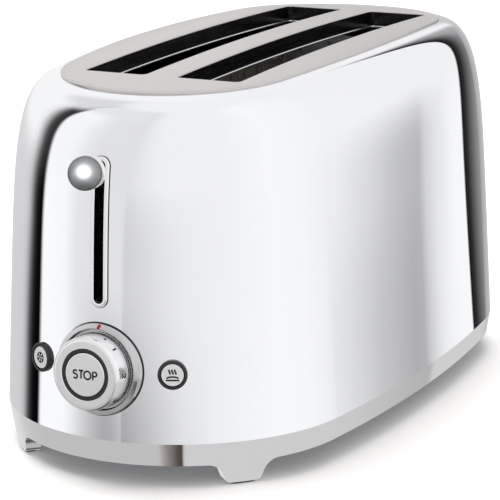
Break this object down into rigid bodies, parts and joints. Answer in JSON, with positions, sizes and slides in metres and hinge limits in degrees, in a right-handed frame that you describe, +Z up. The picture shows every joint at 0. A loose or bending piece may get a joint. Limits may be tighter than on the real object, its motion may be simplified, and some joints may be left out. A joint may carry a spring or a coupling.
{
  "type": "toaster",
  "caption": "Long-slot chrome toaster with a brushed top, two long bread slots, ball lever, stop dial, two small buttons, leg ring and crumb tray",
  "frame": {"origin": "on the table under the middle of the overall length, body on the centre line", "axes": "+Z up, -Y towards the lever and dial end, +X the long side seen in the picture"},
  "size_m": [0.208, 0.4044, 0.2065],
  "materials": {
    "chrome": "mirror-polished chrome plate",
    "steel": "brushed stainless sheet",
    "ground": "satin-ground steel",
    "bright": "bright rolled sheet",
    "zinc": "zinc-plated steel",
    "cast": "satin die-cast metal",
    "wire": "bright drawn wire and ribbon",
    "mica": "pressed mica sheet",
    "plastic": "black moulded plastic",
    "board": "lacquered circuit board",
    "brass": "turned brass",
    "rubber": "moulded rubber"
  },
  "bodies": {
    "body": {"body_shell": "chrome", "top_plate": "steel", "slot_liner_left": "steel", "slot_liner_right": "steel", "base_ring": "cast", "foot_pads": "rubber", "bottom_plate": "zinc", "base_screws": "zinc", "cord_bush": "plastic", "terminal_block": "plastic", "chassis_front": "zinc", "chassis_rear": "zinc", "heat_shield_left": "bright", "heat_shield_right": "bright", "chassis_screws": "zinc", "heater_card_left": "mica", "heater_card_centre": "mica", "heater_card_right": "mica", "heater_winding_left": "wire", "heater_winding_centre": "wire", "heater_winding_right": "wire", "guide_rod": "ground", "lift_spring": "wire", "electromagnet": "plastic", "lever_bezel": "chrome", "dial_bezel": "ground", "dial_nut": "brass", "control_board": "board", "board_bracket": "zinc", "dial_encoder": "plastic", "stop_switch": "plastic", "defrost_bezel": "plastic", "defrost_switch": "plastic", "reheat_bezel": "plastic", "reheat_switch": "plastic", "button_nuts": "brass"},
    "lever": {"carriage": "zinc", "lever_arm": "zinc", "lever_collar": "chrome", "lever_ball": "ground", "bread_lift_left": "bright", "bread_lift_right": "bright", "armature": "zinc"},
    "guard_left_outer": {"bread_guard_left_outer": "wire"},
    "guard_left_inner": {"bread_guard_left_inner": "wire"},
    "guard_right_outer": {"bread_guard_right_outer": "wire"},
    "guard_right_inner": {"bread_guard_right_inner": "wire"},
    "dial": {"dial_knob": "ground", "dial_insert": "plastic"},
    "stop": {"stop_button": "ground"},
    "defrost": {"defrost_button": "ground"},
    "reheat": {"reheat_button": "ground"},
    "tray": {"crumb_tray": "zinc"}
  },
  "joints": [
    {"name": "lever_slide", "type": "slide", "parent": "body", "child": "lever", "axis": [0, 0, -1], "range_m": [0, 0.064], "stiffness_N_per_m": 60, "springref_m": -0.02, "deforming": ["lift_spring"]},
    {"name": "guard_left_outer_slide", "type": "slide", "parent": "body", "child": "guard_left_outer", "axis": [1, 0, 0], "range_m": [0, 0.007]},
    {"name": "guard_left_inner_slide", "type": "slide", "parent": "body", "child": "guard_left_inner", "axis": [-1, 0, 0], "range_m": [0, 0.007]},
    {"name": "guard_right_outer_slide", "type": "slide", "parent": "body", "child": "guard_right_outer", "axis": [-1, 0, 0], "range_m": [0, 0.007]},
    {"name": "guard_right_inner_slide", "type": "slide", "parent": "body", "child": "guard_right_inner", "axis": [1, 0, 0], "range_m": [0, 0.007]},
    {"name": "dial_turn", "type": "hinge", "parent": "body", "child": "dial", "pos_m": [0, -0.18391, 0.0622], "axis": [0, -0.9988, 0.0496], "range_deg": [0, 270]},
    {"name": "stop_press", "type": "slide", "parent": "body", "child": "stop", "axis": [0, 0.9988, -0.0496], "range_m": [0, 0.002], "stiffness_N_per_m": 600, "springref_m": -0.001},
    {"name": "defrost_press", "type": "slide", "parent": "body", "child": "defrost", "axis": [0.403, 0.9138, -0.0496], "range_m": [0, 0.0015], "stiffness_N_per_m": 600, "springref_m": -0.001},
    {"name": "reheat_press", "type": "slide", "parent": "body", "child": "reheat", "axis": [-0.403, 0.9138, -0.0496], "range_m": [0, 0.0015], "stiffness_N_per_m": 600, "springref_m": -0.001},
    {"name": "crumb_tray_slide", "type": "slide", "parent": "body", "child": "tray", "axis": [0, 1, 0], "range_m": [0, 0.25]}
  ],
  "couplings": [
    {"joint": "guard_left_outer_slide", "follows": "lever_slide", "ratio": 0.10938},
    {"joint": "guard_left_inner_slide", "follows": "lever_slide", "ratio": 0.10938},
    {"joint": "guard_right_outer_slide", "follows": "lever_slide", "ratio": 0.10938},
    {"joint": "guard_right_inner_slide", "follows": "lever_slide", "ratio": 0.10938}
  ]
}
